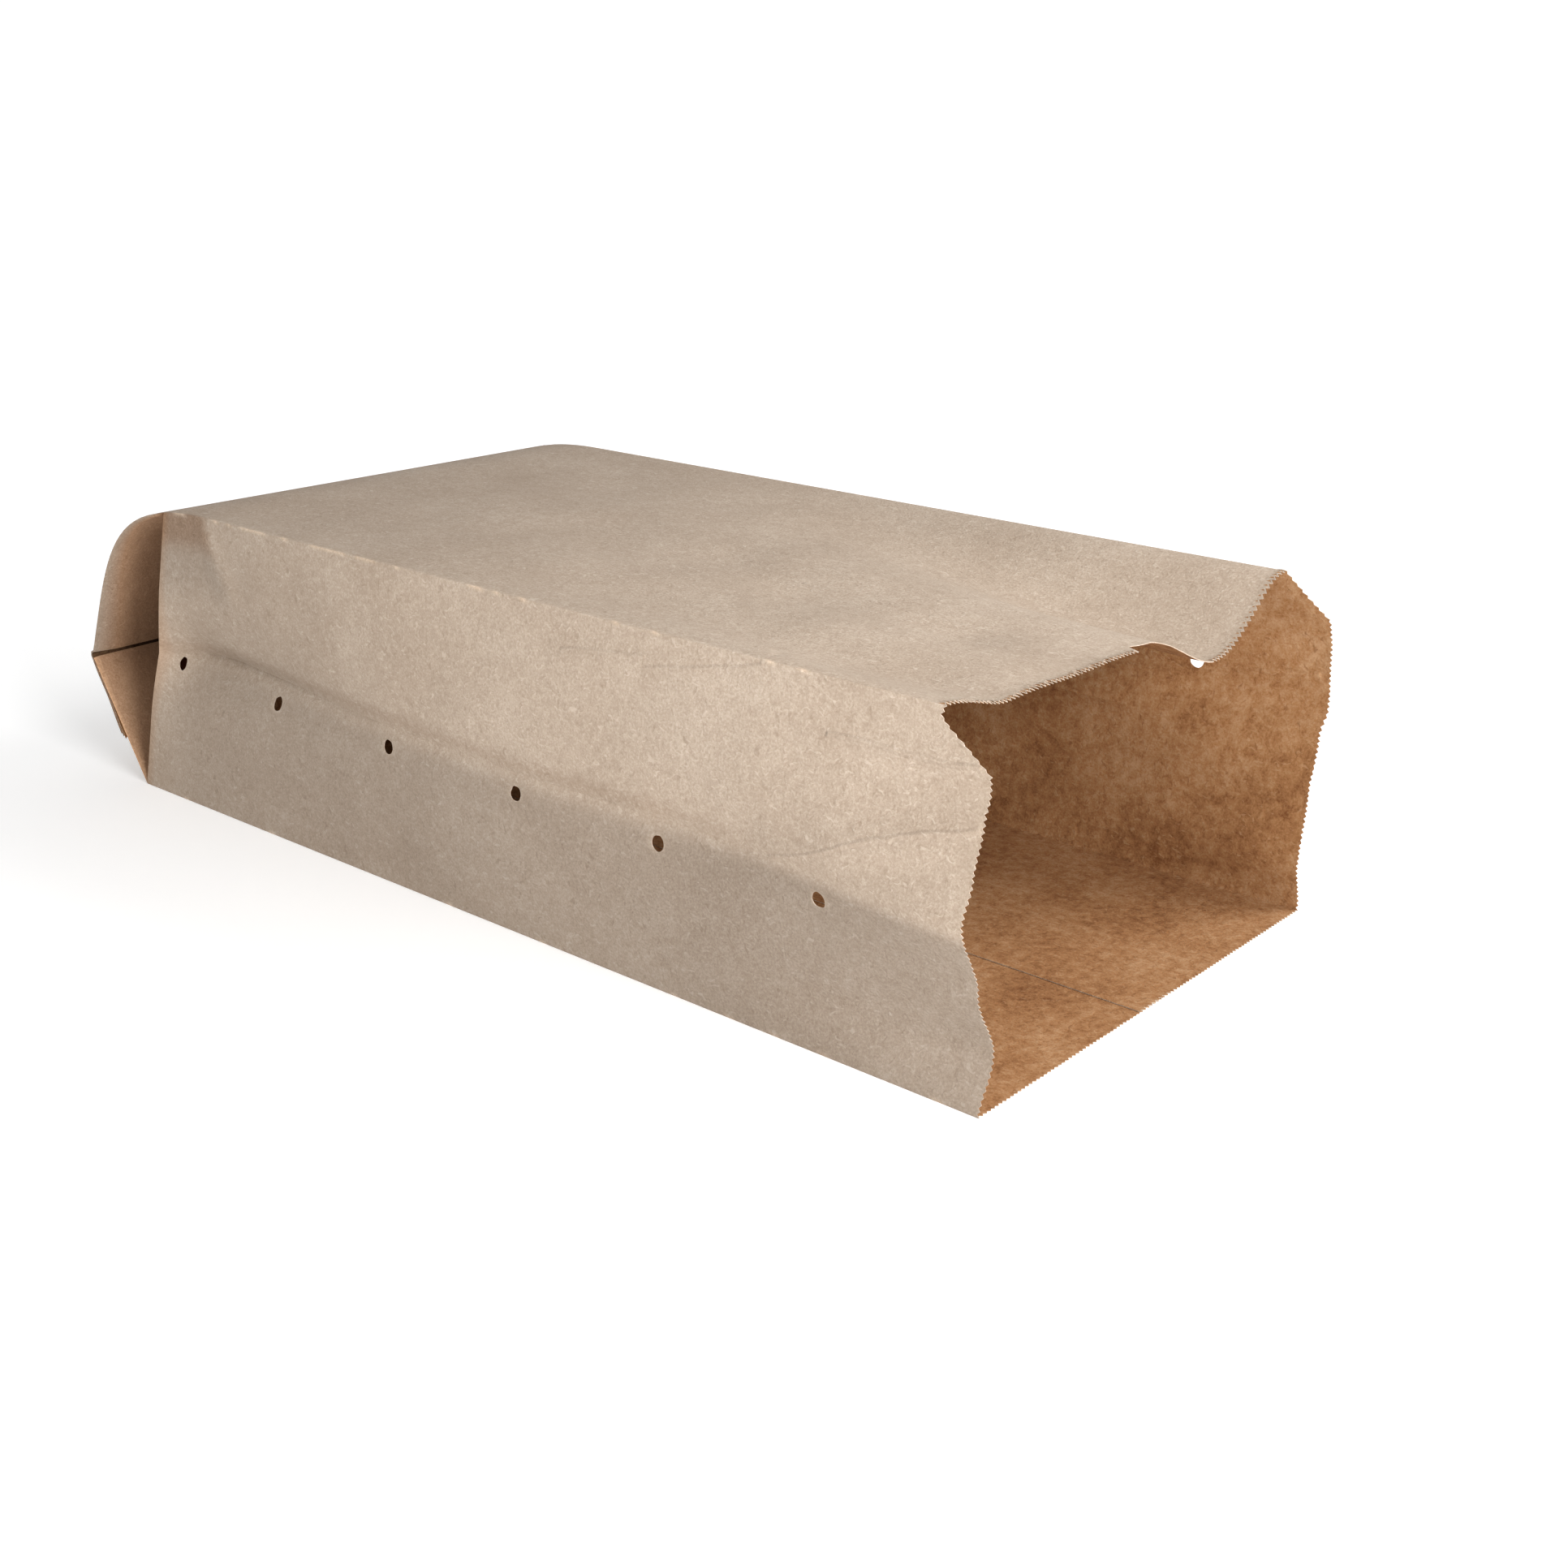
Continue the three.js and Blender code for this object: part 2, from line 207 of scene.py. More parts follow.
def addStudio():
    bm = bmesh.new()
    bmesh.ops.create_grid(bm, x_segments=1, y_segments=1, size=4)
    mesh = bpy.data.meshes.new("floor")
    bm.to_mesh(mesh)
    bm.free()
    floor = bpy.data.objects.new("floor", mesh)
    bpy.context.scene.collection.objects.link(floor)
    mesh.materials.append(paleFloor())
    addSky()
    for name, place, power, size in studio["lights"]:
        addLight(name, place, studio["target"], power, size)
    bpy.context.scene.view_settings.view_transform = "Standard"


addCamera()
addStudio()
print("stage: camera, lights and floor made")


# how the sheet is folded, in mm from the near end of the floor crease
def bend(share, across):
    # side view of the top panel: up from the pinched line, then over into the flat top
    flat = bag["bendStart"] + bag["bendSkew"] * across
    a = Vector((-bag["pinchOut"], bag["pinchHeight"] + bag["stack"] / 2))
    b = a + Vector((bag["bendLean"], 1)).normalized() * bag["bendRise"]
    c = Vector((flat - bag["bendReach"], bag["height"]))
    d = Vector((flat, bag["height"]))
    s = 1 - share
    point = a * s**3 + b * 3 * s * s * share + c * 3 * s * share**2 + d * share**3
    slope = (b - a) * s * s + (c - b) * 2 * s * share + (d - c) * share**2
    return point, slope.normalized()


def topHeight(x, across):
    if x >= bag["bendStart"] + bag["bendSkew"] * across:
        return bag["height"]
    lowShare, highShare = 0, 1
    for step in range(24):
        middle = (lowShare + highShare) / 2
        if bend(middle, across)[0].x < x:
            lowShare = middle
        else:
            highShare = middle
    return bend(lowShare, across)[0].y


def readOutline(points, at, ease=smooth):
    for (a, outA), (b, outB) in zip(points, points[1:]):
        if at <= b:
            return outA + (outB - outA) * ease((at - a) / (b - a))
    return points[-1][1]


def sag(x, across):
    reach = smooth(1 - (bag["length"] - bag["lip"] - x) / stance["sagReach"]) ** 1.6
    edge = smooth(across / 0.16) * smooth((1 - across) / 0.19)
    off = across * bag["width"] - stance["sagMiddle"]
    off /= stance["sagSpread"][off > 0]
    deep = stance["sagDeep"] * math.exp(-off * off) * smooth((1 - across) / 0.1)
    return reach * (stance["sagShallow"] * edge + deep)


def valley(up):
    # along the middle crease: 1 at the crease, 0 past its reach
    over, under = (up - 0.5) / stance["valleyOver"], (0.5 - up) / stance["valleyUnder"]
    return max(0, 1 - max(over, under)) ** 1.5


def standOut(side, x, up):
    # how far a gusset stands out from the plane of its two long creases
    past = max(0, x - up * bend(bag["tuckTop"], 0 if side == "near" else 1)[0].x)
    towardsMouth = smooth(1 - (bag["length"] - x) / stance["mouthReach"]) ** 1.5
    unsettled = math.exp(-past / stance["foldInStart"])
    foldIn = stance["foldIn"] * smooth(1 - past / stance["foldInFade"]) + stance["creaseDepth"]
    depth = (stance["endFoldIn"] * unsettled + foldIn * (1 - unsettled)) * valley(up)
    reach = stance["pleatOver"] if up > 0.5 else stance["pleatUnder"]
    depth += stance["pleat"] * math.exp(-abs(up - 0.5) / reach) * (1 - unsettled)
    belly = stance["belly"] * smooth((x - stance["bellyStart"]) / stance["bellyReach"])
    slack = belly * math.sin(math.pi * up) - depth
    return towardsMouth * readOutline(stance[side], up) + slack * (1 - towardsMouth)


def sideY(side, inward):
    return inward if side == "near" else bag["width"] - inward


def tucked(side, deep, along, upper):
    # a tucked layer lies under the sloping panel beside it and springs off it a little
    sprung = smooth(along / bag["springAlong"])
    spring = bag["layerGap"] + (bag["tuckSpring"] - bag["layerGap"]) * sprung
    gap = bag["layerGap"] * smooth(deep / bag["creaseStrip"])
    gap += (spring - bag["layerGap"]) * smooth(deep / bag["springReach"])
    if upper:
        across = deep / bag["width"] if side == "near" else 1 - deep / bag["width"]
        point, slope = bend(along * bag["tuckTop"], across)
        return Vector((point.x + slope.y * gap, sideY(side, deep), point.y - slope.x * gap))
    lean = Vector((bag["pinchHeight"] - bag["stack"] / 2, bag["pinchOut"])).normalized()
    x = -bag["pinchOut"] * (1 - along) + lean.x * gap
    height = (bag["pinchHeight"] - bag["stack"] / 2) * (1 - along) + lean.y * gap
    return Vector((x, sideY(side, deep), height))


def endPoint(panel, at, along):
    # closed end: 0 at the pinched line, 1 at the gusset's end fold
    if panel == "floor":
        height = (bag["pinchHeight"] - bag["stack"] / 2) * (1 - along)
        return Vector((-bag["pinchOut"] * (1 - along), bag["width"] * at, height))
    if panel == "top":
        point = bend(along * bag["tuckTop"], at)[0]
        return Vector((point.x, bag["width"] * at, point.y))
    side, zone = panel.split()
    diagonal = bag["height"] / 2 * (1 - along)
    if zone == "low":
        return tucked(side, diagonal * at, along, False)
    if zone == "high":
        return tucked(side, diagonal * (1 - at), along, True)
    web = tucked(side, diagonal, along, False).lerp(tucked(side, diagonal, along, True), at)
    inward = 1 if side == "near" else -1
    web.y += inward * stance["endFoldIn"] * along * valley(at)
    return web


def heightShare(panel, at):
    return at if panel.endswith("web") else float(panel.endswith("high"))


def torn(across):
    # the dip torn in the top panel's edge
    first, last = bag["tear"][0][0], bag["tear"][-1][0]
    return readOutline(bag["tear"], across) if first < across < last else 0


def mouthX(panel, at):
    if panel == "floor":
        return bag["length"]
    if panel == "top":
        return bag["length"] - bag["lip"] - torn(at * bag["width"])
    if panel.startswith("near"):
        return bag["length"] - readOutline(bag["nearLip"], 1 - heightShare(panel, at), float)
    return bag["length"] - max(0, bag["lip"] - (1 - heightShare(panel, at)) * bag["height"])


# soft creases and dents that handling left in the near gusset and the top panel, in mm:
# from x, from height or depth, to x, to height or depth, how far it stands out, half width
handled = {
    "near web": [
        (300, 84, 348, 87, 0.5, 4.0),
        (287, 51, 348, 74, 0.6, 4.0),
        (213, 89, 262, 94, 0.4, 3.5),
        (248, 52, 279, 57, -0.8, 4.0),
        (49, 99, 59, 78, 0.9, 4.5),
        (300, 36, 352, 22, -0.5, 9.0),
    ],
    "top": [
        (150, 80, 205, 74, -0.5, 12.0),
        (205, 74, 246, 61, -0.8, 12.0),
        (246, 61, 296, 67, -1.0, 12.0),
        (296, 67, 337, 85, -0.8, 12.0),
        (270, 38, 337, 41, 0.8, 14.0),
        (60, 120, 200, 140, -0.4, 18.0),
    ],
    "far web": [
        (250, 60, 345, 74, 0.6, 5.0),
        (180, 40, 250, 52, 0.5, 5.0),
    ],
}


def handledOut(panel, x, height):
    out = 0
    for ax, ay, bx, by, rise, width in handled.get(panel, []):
        run = Vector((bx - ax, by - ay))
        share = min(1, max(0, Vector((x - ax, height - ay)).dot(run) / run.length_squared))
        away = math.hypot(x - ax - run.x * share, height - ay - run.y * share) / width
        out += rise * math.exp(-away * away)
    return out


def waver(panel, x, side):
    # long shallow waves, none at the creases
    seat = {"top": 0.0, "near web": 7.3, "far web": 13.1}.get(panel)
    if seat is None:
        return 0
    long = noise.noise(Vector((x / 70, side / 34, seat)))
    short = noise.noise(Vector((x / 21, side / 17, seat + 3.7)))
    return 0.9 * long + 0.28 * short


def bodyPoint(panel, at, x):
    if panel == "floor":
        return Vector((x, bag["width"] * at, 0))
    if panel == "top":
        edge = smooth(at / 0.08) * smooth((1 - at) / 0.08)
        out = handledOut(panel, x, at * bag["width"]) + waver(panel, x, at * bag["width"])
        return Vector((x, bag["width"] * at, topHeight(x, at) - sag(x, at) + out * edge))
    side = panel.split()[0]
    up = heightShare(panel, at)
    height = up * topHeight(x, float(side == "far"))
    edge = smooth(up / 0.06) * smooth((1 - up) / 0.06)
    start = smooth((x - up * bend(bag["tuckTop"], float(side == "far"))[0].x) / 12)
    out = (handledOut(panel, x, height) + waver(panel, x, height)) * edge * start
    return Vector((x, sideY(side, -standOut(side, x, up) - out), height))


# the sheet: columns round the bag, rows along it
grid = {
    "zones": [
        ("floor", 0.5, 1, 25), ("far low", 0, 1, 9), ("far web", 0, 1, 64), ("far high", 0, 1, 9),
        ("top", 1, 0, 100), ("near high", 1, 0, 9), ("near web", 1, 0, 64), ("near low", 1, 0, 9),
        ("floor", 0, 0.5, 25),
    ],
    "endRows": 20, "bodyRows": 88,
}
columnCount = sum(zone[3] for zone in grid["zones"])
rowCount = grid["endRows"] + grid["bodyRows"]


def zoneOf(column):
    # the panel under a column of the flat grid, and how far across that panel it lies
    for panel, start, end, count in grid["zones"]:
        if column <= count + 1e-6:
            break
        column -= count
    share = column / count
    if panel.endswith("low"):
        # closer columns beside the crease
        share = share**1.6 if end > start else 1 - (1 - share) ** 1.6
    elif panel.endswith("high"):
        share = 1 - (1 - share) ** 1.6
    return panel, start + (end - start) * share


def toothCut(panel, at):
    # the mouth's teeth are uneven, frayed beside the near corner, and gone where the edge is torn
    if panel != "top":
        return bag["toothDepth"] * (1 + 0.5 * noise.noise(Vector((at * 31, 1.7, 0))))
    across = at * bag["width"]
    if torn(across):
        return 0.5 * noise.noise(Vector((across / 2.5, 4.1, 0)))
    frayed = smooth((bag["tear"][0][0] - across) / 12) * noise.noise(Vector((across / 4.3, 8.3, 0)))
    return bag["toothDepth"] * (1.4 + 5 * max(0, frayed))


# painted shade and light on the sheet, set by where the light falls, with a warm painted shade in
# the tucked end and worn folds with a painted highlight: strength, then from where, then how far,
# in mm or shares of the height
paintedShading = {
    "topShade": (0.22, 230, 200), "topLight": (0.12, 230, 80),
    "nearLight": 0.23, "nearFade": 10,
    "lowShade": (0.45, 0.51, 0.05), "lowMouthShade": (0.1, 200, 80),
    "highEndShade": (0.26, 170, 110),
    "creaseShade": (0.24, 0.53, 0.025), "creaseLight": (0.14, 0.475, 0.02),
    "creaseWarmShade": (0.08, 0.53, 0.022), "creaseRows": (76, 20),
    "cornerShade": 0.2, "cornerEdge": (49, 1.04, 52, 2.5), "cornerFrom": (0.68, 0.15),
    "cornerTop": (0.86, 0.08), "cornerWarmShade": 0.35,
    "pocketWarmShade": 0.6, "webShade": 0.8, "farWearAndHighlight": 0.6,
}


def ridge(strip, at):
    strength, middle, width = strip
    return strength * math.exp(-(((at - middle) / width) ** 2))


def paintedShadingAndWearOf(column, row):
    # painted shade and light at one corner of the sheet, standing in for how the light falls: shade
    # away from the light and under the near crease, a warm painted shade in the tucked end, and
    # worn folds with a painted highlight
    panel, at = zoneOf(column)
    atEnd = row < grid["endRows"]
    onFold = at in (0, 1) and panel != "floor"
    if panel == "floor":
        return 0, 0, 0
    x = place(column, row, 0).x
    if panel == "top":
        # painted shade towards the closed end and painted light towards the mouth, as the light
        # falls on the top panel
        shade, start, reach = paintedShading["topShade"]
        light, lightStart, lightReach = paintedShading["topLight"]
        toneAndPaintedShading = shade * smooth((start - x) / reach) - light * smooth((x - lightStart) / lightReach)
        return toneAndPaintedShading, 0, onFold and not atEnd
    if atEnd:
        onFold = at == (1 if panel.endswith("high") else 0)
    # worn folds with a painted highlight, weaker on the far side
    wearAndHighlight = paintedShading["farWearAndHighlight"] if "far" in panel else 1
    wearAndHighlight *= onFold and not (atEnd and panel.endswith("web"))
    # warm painted shade in the tucked end, fading out past it
    warmPaintedShade = paintedShading["pocketWarmShade"] * smooth((grid["endRows"] + 1 - row) / 2)
    # painted shade in the slit between the tucked layers, where no light reaches
    if panel.endswith("web") and atEnd:
        return paintedShading["webShade"], 1, 0
    if panel.startswith("far"):
        return 0, warmPaintedShade, wearAndHighlight
    up = heightShare(panel, at)
    away = row - grid["endRows"]
    # painted shade on the near gusset's lower half and painted light on the whole of it, with more
    # shade low by the mouth and high by the closed end
    shade, start, reach = paintedShading["lowShade"]
    under = smooth((start - up) / reach)
    toneAndPaintedShading = shade * under - paintedShading["nearLight"]
    shade, start, reach = paintedShading["lowMouthShade"]
    toneAndPaintedShading += shade * under * smooth((x - start) / reach)
    shade, start, reach = paintedShading["highEndShade"]
    toneAndPaintedShading += shade * (1 - under) * smooth((start - x) / reach)
    # painted shade just above the middle crease and painted light just below it, as across a
    # valley, for a stretch of rows from the end
    last, fade = paintedShading["creaseRows"]
    band = smooth((away + 1) / 2) * smooth((last - away) / fade)
    toneAndPaintedShading += band * (ridge(paintedShading["creaseShade"], up) - ridge(paintedShading["creaseLight"], up))
    # painted shade on the facet in the corner beside the end fold, which turns away from the light
    foot, share, lean, soft = paintedShading["cornerEdge"]
    start, reach = paintedShading["cornerFrom"]
    corner = smooth((foot + lean * (share - up) - x) / soft)
    corner *= smooth((up - start) / reach) * (not atEnd)
    start, reach = paintedShading["cornerTop"]
    top = corner * smooth((up - start) / reach)
    warmPaintedShade += paintedShading["cornerWarmShade"] * top + band * ridge(paintedShading["creaseWarmShade"], up)
    toneAndPaintedShading = toneAndPaintedShading * smooth((away + 2) / paintedShading["nearFade"]) + paintedShading["cornerShade"] * (corner + top)
    return toneAndPaintedShading, warmPaintedShade, wearAndHighlight


def place(column, row, notch):
    panel, at = zoneOf(column)
    if row <= grid["endRows"]:
        return endPoint(panel, at, row / grid["endRows"])
    share = (row - grid["endRows"]) / grid["bodyRows"]
    fromX = endPoint(panel, at, 1).x
    x = fromX + (mouthX(panel, at) - fromX) * share - notch * toothCut(panel, at)
    point = bodyPoint(panel, at, x)
    if panel == "top" and not torn(at * bag["width"]):
        point.z += 0.5 * notch  # the tips of the teeth droop
    return point


def cutTeeth(bm, edges, perColumn):
    # splits an open edge and marks every other corner of it, in the flat grid's spare direction
    bmesh.ops.subdivide_edges(bm, edges=edges, cuts=2 * perColumn - 1)
    last = max(v.co.x for v in bm.verts)
    for corner in bm.verts:
        if corner.co.x > last - 0.5 and round(corner.co.y * 2 * perColumn) % 2:
            corner.co.z = 1


def flatGrid(rows, columns):
    bm = bmesh.new()
    bmesh.ops.create_grid(bm, x_segments=rows, y_segments=columns, size=0.5)
    for corner in bm.verts:
        corner.co = Vector(((corner.co.x + 0.5) * rows, (corner.co.y + 0.5) * columns, 0))
    tip = [e for e in bm.edges if all(v.co.x > rows - 0.5 for v in e.verts)]
    return bm, tip


def foldedSheet():
    bm, mouth = flatGrid(rowCount, columnCount)
    onFloor = [e for e in mouth if zoneOf(sum(v.co.y for v in e.verts) / 2)[0] == "floor"]
    cutTeeth(bm, [e for e in mouth if e not in onFloor], 1)
    cutTeeth(bm, onFloor, 2)
    # mesh layers of painted shade and light, warm painted shade, and worn folds with a painted
    # highlight
    layers = [bm.verts.layers.float.new(name) for name in ("toneAndPaintedShading", "warmPaintedShade", "wearAndHighlight")]
    for corner in bm.verts:
        for layer, value in zip(layers, paintedShadingAndWearOf(corner.co.y, corner.co.x)):
            corner[layer] = value
        corner.co = toFrame(*place(corner.co.y, corner.co.x, corner.co.z))
    bmesh.ops.remove_doubles(bm, verts=bm.verts, dist=0.01 * mm)
    bmesh.ops.recalc_face_normals(bm, faces=bm.faces)
    return bm


lap = {"width": 15, "lift": 0.3, "rows": 60, "columns": 4}


def lapSheet():
    # the sheet's overlap, glued down along the middle of the bottom panel's inside
    bm, mouth = flatGrid(lap["rows"], lap["columns"])
    cutTeeth(bm, mouth, 2)
    for corner in bm.verts:
        at = 0.5 + (corner.co.y / lap["columns"] - 0.5) * lap["width"] / bag["width"]
        along = corner.co.x / lap["rows"] * (bag["length"] + bag["pinchOut"]) / bag["pinchOut"]
        if along < 1:
            point = endPoint("floor", at, along)
        else:
            x = (along - 1) * bag["pinchOut"] - corner.co.z * toothCut("floor", at)
            point = bodyPoint("floor", at, x)
        corner.co = toFrame(point.x, point.y, point.z + lap["lift"])
    bmesh.ops.reverse_faces(bm, faces=bm.faces)  # its outside lies on the panel under it
    return bm


def makeObject(bm, name):
    mesh = bpy.data.meshes.new(name)
    bm.to_mesh(mesh)
    bm.free()
    piece = bpy.data.objects.new(name, mesh)
    bpy.context.scene.collection.objects.link(piece)
    return piece


def applyModifiers(piece):
    ready = piece.evaluated_get(bpy.context.evaluated_depsgraph_get())
    mesh = bpy.data.meshes.new_from_object(ready)
    piece.modifiers.clear()
    piece.data = mesh


flap = {
    "length": 30, "layers": 3, "step": 0.62, "gap": 0.35,
    "rolled": 0.6, "bead": 0.1, "beadStep": 0.4,
    "settle": 6, "wave": 0.35, "curl": 1.3, "rows": 20, "columns": 100,
}


def flapPoint(along, across, layer):
    # over the rolled edge in a half circle, then down the lower slope
    radius = bag["stack"] / 2 + flap["bead"] + flap["step"] * layer * flap["beadStep"]
    head = Vector((-bag["pinchOut"], bag["pinchHeight"]))
    slope = Vector((bag["pinchOut"], bag["stack"] / 2 - bag["pinchHeight"])).normalized()
    outward = Vector((slope.y, -slope.x))
    rolled = math.pi * radius * flap["rolled"]
    turn = math.pi / 2 + min(along, rolled) / radius
    side = head + Vector((math.cos(turn), math.sin(turn))) * radius
    if along > rolled:
        down = along - rolled
        gap = flap["gap"] + flap["step"] * layer
        foot = Vector((-bag["pinchOut"], bag["pinchHeight"] - bag["stack"] / 2))
        lying = foot + slope * down + outward * gap
        side = (side + slope * down).lerp(lying, smooth(down / flap["settle"]))
    wave = noise.noise(Vector((across / 26, along / 14, 2.1 * layer))) * smooth(along / 8)
    curl = flap["curl"] * smooth(along / flap["length"] * 2 - 1)
    side = side + outward * (abs(flap["wave"] * wave) + curl)
    return Vector((side.x, across, side.y))


def flapSheet(layer):
    bm, tip = flatGrid(flap["rows"], flap["columns"])
    cutTeeth(bm, tip, 1)
    toneAndPaintedShading = bm.verts.layers.float.new("toneAndPaintedShading")
    length = flap["length"] + 2 - 0.7 * layer
    for corner in bm.verts:
        along = corner.co.x / flap["rows"] * length - corner.co.z * bag["toothDepth"]
        # painted shade on the innermost layer near its fold, where shadow falls
        corner[toneAndPaintedShading] = (layer == 0) * smooth((6 - along) / 3)  # the fold's dark inside
        corner.co = toFrame(*flapPoint(along, corner.co.y / flap["columns"] * bag["width"], layer))
    bmesh.ops.reverse_faces(bm, faces=bm.faces)  # folded over with the top panel's outside outwards
    return bm


holes = {
    "radius": 2.15, "segments": 28, "reach": 34, "uneven": 0.22, "squeeze": 0.45,
    "near": [
        (20.3, 45.4), (74.8, 43.5), (135.3, 44.2), (193.2, 44.4), (247.3, 43.7), (303.1, 44.3),
    ],
    "far": [(29, 67), (84.8, 67), (140.6, 67), (196.4, 67), (252.2, 67), (308, 67)],
}


def holeCutters():
    bm = bmesh.new()
    for side in ("near", "far"):
        for i, (x, height) in enumerate(holes[side]):
            centre = toFrame(x, sideY(side, 0), height)
            turn = Matrix.Translation(centre) @ Matrix.Rotation(math.pi / 2, 4, "X")
            made = bmesh.ops.create_cone(
                bm, cap_ends=True, segments=holes["segments"], radius1=holes["radius"] * mm,
                radius2=holes["radius"] * mm, depth=holes["reach"] * mm, matrix=turn)
            for corner in made["verts"]:
                off = corner.co - centre
                if side == "near" and i == 0:
                    corner.co.x -= off.x * holes["squeeze"]  # beside the end fold
                ring = Vector((off.x, 0, off.z)).normalized()
                nudge = noise.noise(ring * 1.3 + Vector((i * 3.1, 5 * (side == "far"), 0)))
                corner.co += ring * nudge * holes["uneven"] * mm  # punched, so not quite round
    return makeObject(bm, "holeCutters")


def paperBag():
    sheet = foldedSheet()
    extras = [flapSheet(layer) for layer in range(flap["layers"])] + [lapSheet()]
    for extra in extras:
        mesh = bpy.data.meshes.new("layer")
        extra.to_mesh(mesh)
        extra.free()
        sheet.from_mesh(mesh)
        bpy.data.meshes.remove(mesh)
    piece = makeObject(sheet, "snackBag")
    wall = piece.modifiers.new("wall", "SOLIDIFY")
    wall.thickness = bag["sheet"] * mm
    wall.offset = 0
    wall.material_offset = 1
    wall.material_offset_rim = 0
    piece.data.materials.append(kraft("kraftOutside", finish["outside"]))
    piece.data.materials.append(kraft("kraftInside", finish["inside"]))
    applyModifiers(piece)
    print("stage: sheet folded,", len(piece.data.polygons), "faces")
    cutters = holeCutters()
    punch = piece.modifiers.new("punch", "BOOLEAN")
    punch.operation = "DIFFERENCE"
    punch.solver = "EXACT"
    punch.object = cutters
    applyModifiers(piece)
    bpy.data.objects.remove(cutters)
    return piece


# kraft paper
# sharp handling creases: side, rise, width, and points in mm along the bag, then up or across it
scratches = [
    ("near", 0.55, 0.9, [(213.1, 89.4), (228.1, 91.7), (242.5, 93.2)]),
    ("near", -0.5, 0.8, [(242.4, 90.8), (281.0, 99.0)]),
    ("near", 0.7, 0.9, [(303.4, 86.4), (335.0, 86.3), (346.5, 87.5)]),
    ("near", 0.5, 0.75, [(286.8, 50.7), (300.6, 55.7), (318.9, 64.3), (348.4, 73.8)]),
    ("top", 0.45, 1.0, [(236.0, 70.0), (300.0, 72.0)]),
    ("far", 0.5, 0.9, [(262.0, 58.0), (346.0, 70.0)]),
]
scratchReach = 14  # a side's creases are kept to this depth in mm, so that they don't print through
scratchTop = 78  # and the top panel's to what lies above this height


def creaseLines():
    # relief of the sharp creases: each is a strip of falling height round its own line
    tree = bpy.data.node_groups.new("creaseLines", "ShaderNodeTree")
    tree.interface.new_socket(name="Relief", in_out="OUTPUT", socket_type="NodeSocketFloat")
    end = nodeOf(tree, "NodeGroupOutput", (1600, 0))
    where = nodeOf(tree, "ShaderNodeTexCoord", (-1200, 0)).outputs["Object"]
    wobble = nodeOf(tree, "ShaderNodeTexNoise", (-1000, -200), Scale=90, Detail=2)
    tree.links.new(where, wobble.inputs["Vector"])
    shift = vectorNode(tree, "SUBTRACT", wobble.outputs["Color"], (0.5, 0.5, 0.5), (-800, -200))
    shift = vectorNode(tree, "MULTIPLY", shift, (0.002, 0.002, 0.002), (-650, -200))
    where = vectorNode(tree, "ADD", where, shift, (-500, 0))
    split = nodeOf(tree, "ShaderNodeSeparateXYZ", (-300, 300))
    tree.links.new(where, split.inputs[0])
    nearEdge = creaseY + scratchReach * mm
    farEdge = creaseY + (bag["width"] - scratchReach) * mm
    topEdge = scratchTop * mm
    masks = {
        "near": mathNode(tree, "LESS_THAN", split.outputs["Y"], nearEdge, (-100, 400)),
        "far": mathNode(tree, "GREATER_THAN", split.outputs["Y"], farEdge, (-100, 300)),
        "top": mathNode(tree, "GREATER_THAN", split.outputs["Z"], topEdge, (-100, 200)),
    }
    flats = {
        "near": vectorNode(tree, "MULTIPLY", where, (1, 0, 1), (-300, 0)),
        "top": vectorNode(tree, "MULTIPLY", where, (1, 1, 0), (-300, -150)),
    }
    flats["far"] = flats["near"]
    total = None
    for row, (side, rise, width, line) in enumerate(scratches):
        nearest = None
        for (ax, ay), (bx, by) in zip(line, line[1:]):
            if side == "top":
                a, b = toFrame(ax, ay, 0), toFrame(bx, by, 0)
                a.z = b.z = 0
            else:
                a, b = toFrame(ax, 0, ay), toFrame(bx, 0, by)
                a.y = b.y = 0
            run = b - a
            place = -400 - 200 * row
            away = vectorNode(tree, "SUBTRACT", flats[side], a, (0, place))
            share = vectorNode(tree, "DOT_PRODUCT", away, run / run.length_squared, (150, place))
            share = mathNode(tree, "ADD", share, 0, (300, place), True)
            along = nodeOf(tree, "ShaderNodeVectorMath", (450, place), operation="SCALE")
            along.inputs[0].default_value = run
            tree.links.new(share, along.inputs["Scale"])
            off = vectorNode(tree, "DISTANCE", away, along.outputs[0], (600, place))
            if nearest is not None:
                off = mathNode(tree, "MINIMUM", nearest, off, (900, place))
            nearest = off
        reach = (0, width * 1.25 * mm)
        strip = rangeNode(
            tree, nearest, reach, (rise, 0), (1050, place), interpolation_type="SMOOTHSTEP")
        height = mathNode(tree, "MULTIPLY", strip, masks[side], (1200, place))
        total = height if total is None else mathNode(tree, "ADD", total, height, (1350, place))
    tree.links.new(total, end.inputs["Relief"])
    return tree


